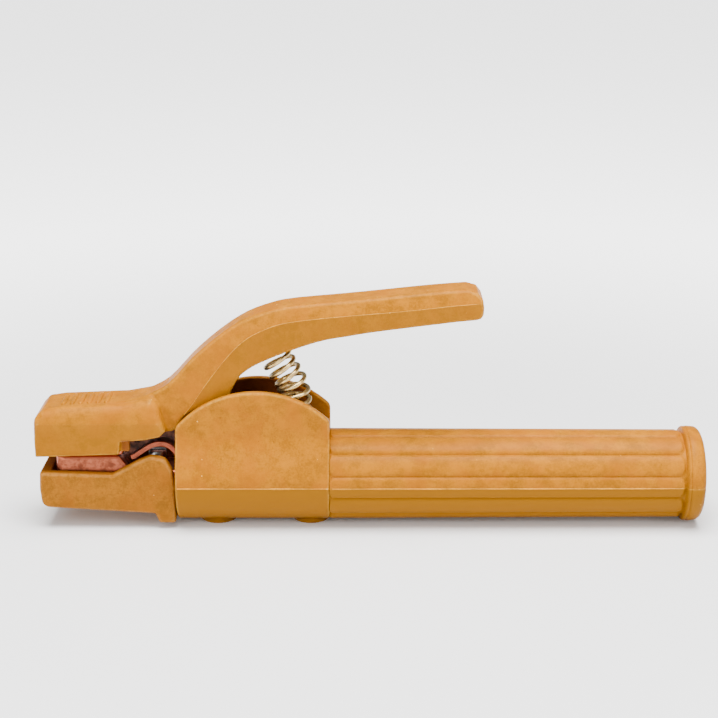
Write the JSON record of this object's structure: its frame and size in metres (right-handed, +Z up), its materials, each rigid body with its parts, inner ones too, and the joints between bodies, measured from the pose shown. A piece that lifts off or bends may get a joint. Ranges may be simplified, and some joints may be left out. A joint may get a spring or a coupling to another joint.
{
  "type": "welding electrode holder",
  "caption": "Tong-type welding electrode holder with a fluted insulated handle, sprung thumb lever, copper jaws and a cable socket inside.",
  "frame": {"origin": "under the middle of the tool, on the surface that it lies on", "axes": "+X along the handle towards the cable end, +Y across the tool, +Z up towards the lever"},
  "size_m": [0.28, 0.0404, 0.1027],
  "materials": {
    "ochre_moulding": "satin moulded thermoset plastic with a fine mottle",
    "tan_moulding": "duller moulded thermoset plastic with a coarse grain",
    "copper": "plain red copper, cast and lightly tarnished",
    "copper_strap": "layered red copper foil",
    "brass": "turned brass",
    "steel": "zinc-plated steel",
    "spring_wire": "yellow zinc-plated spring wire"
  },
  "bodies": {
    "grip": {"handle_shell": "ochre_moulding", "lower_jaw_cap": "tan_moulding", "lower_jaw": "copper", "contact_strap": "copper_strap", "cable_socket": "copper", "strap_rivet": "copper", "pivot_pin": "steel", "hub_washer_near": "brass", "hub_washer_far": "brass", "spring": "spring_wire", "lower_spring_seat": "steel", "shell_screw_front": "steel", "shell_screw_rear": "steel", "shell_washer_front": "steel", "shell_washer_rear": "steel", "lower_cap_screw": "steel", "lower_cap_insert": "brass"},
    "lever": {"lever_cover": "ochre_moulding", "lever_arm": "steel", "upper_jaw": "copper", "pivot_bush": "brass", "upper_spring_seat": "steel", "upper_jaw_screw_front": "steel", "upper_jaw_screw_rear": "steel", "lever_cover_screw": "steel"},
    "cable_clamp": {"clamp_shoe": "copper", "clamp_screw_front": "steel", "clamp_screw_rear": "steel"}
  },
  "joints": [
    {"name": "lever_pivot", "type": "hinge", "parent": "grip", "child": "lever", "pos_m": [-0.07, 0, 0.04], "axis": [0, 1, 0], "range_deg": [0, 20], "stiffness_Nm_per_rad": 6.5, "springref_deg": -40.11, "deforming": ["spring", "contact_strap"]},
    {"name": "cable_clamp_travel", "type": "slide", "parent": "grip", "child": "cable_clamp", "axis": [0, 0, -1], "range_m": [0, 0.004]}
  ]
}
